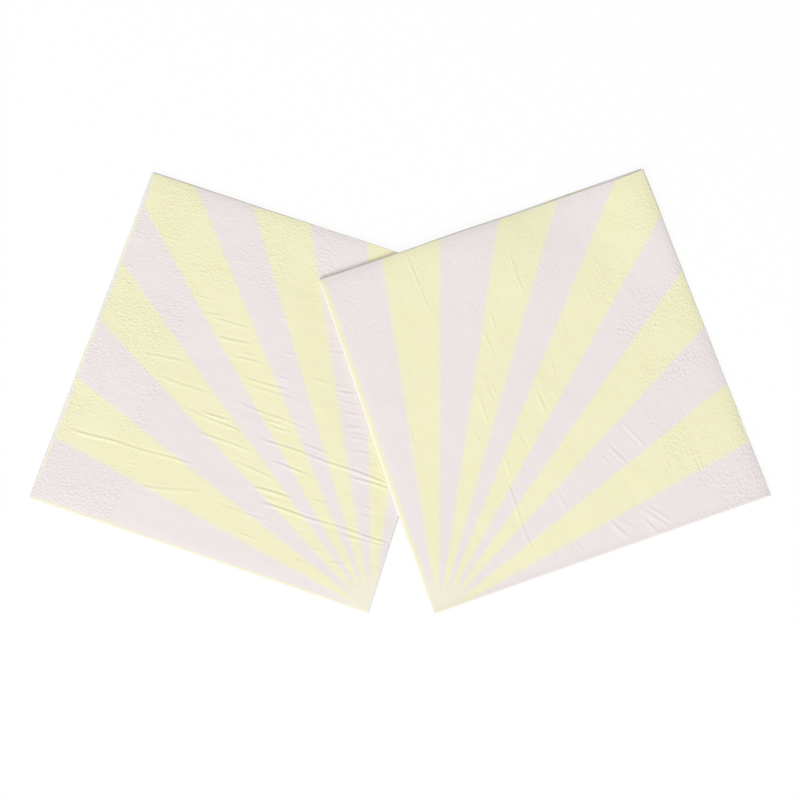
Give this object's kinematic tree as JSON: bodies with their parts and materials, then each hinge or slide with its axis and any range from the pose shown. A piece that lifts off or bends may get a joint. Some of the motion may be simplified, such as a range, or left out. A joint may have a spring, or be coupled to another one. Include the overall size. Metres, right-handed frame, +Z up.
{
  "type": "stack of paper napkins",
  "caption": "Printed tissue napkins folded into quarters and fanned on a table, one lying over a corner of the other, with a plain ray print and an embossed rim.",
  "frame": {"origin": "on the table under the middle of the two napkins' outline", "axes": "+X to the right across the fan, +Y away from the closed corners towards the raw corners, +Z up from the table"},
  "size_m": [0.342, 0.2104, 0.0046],
  "materials": {
    "printed_tissue": "matte embossed tissue with pale yellow and pink rays"
  },
  "bodies": {
    "root": {"lower_napkin": "printed_tissue", "upper_napkin": "printed_tissue"}
  },
  "joints": []
}
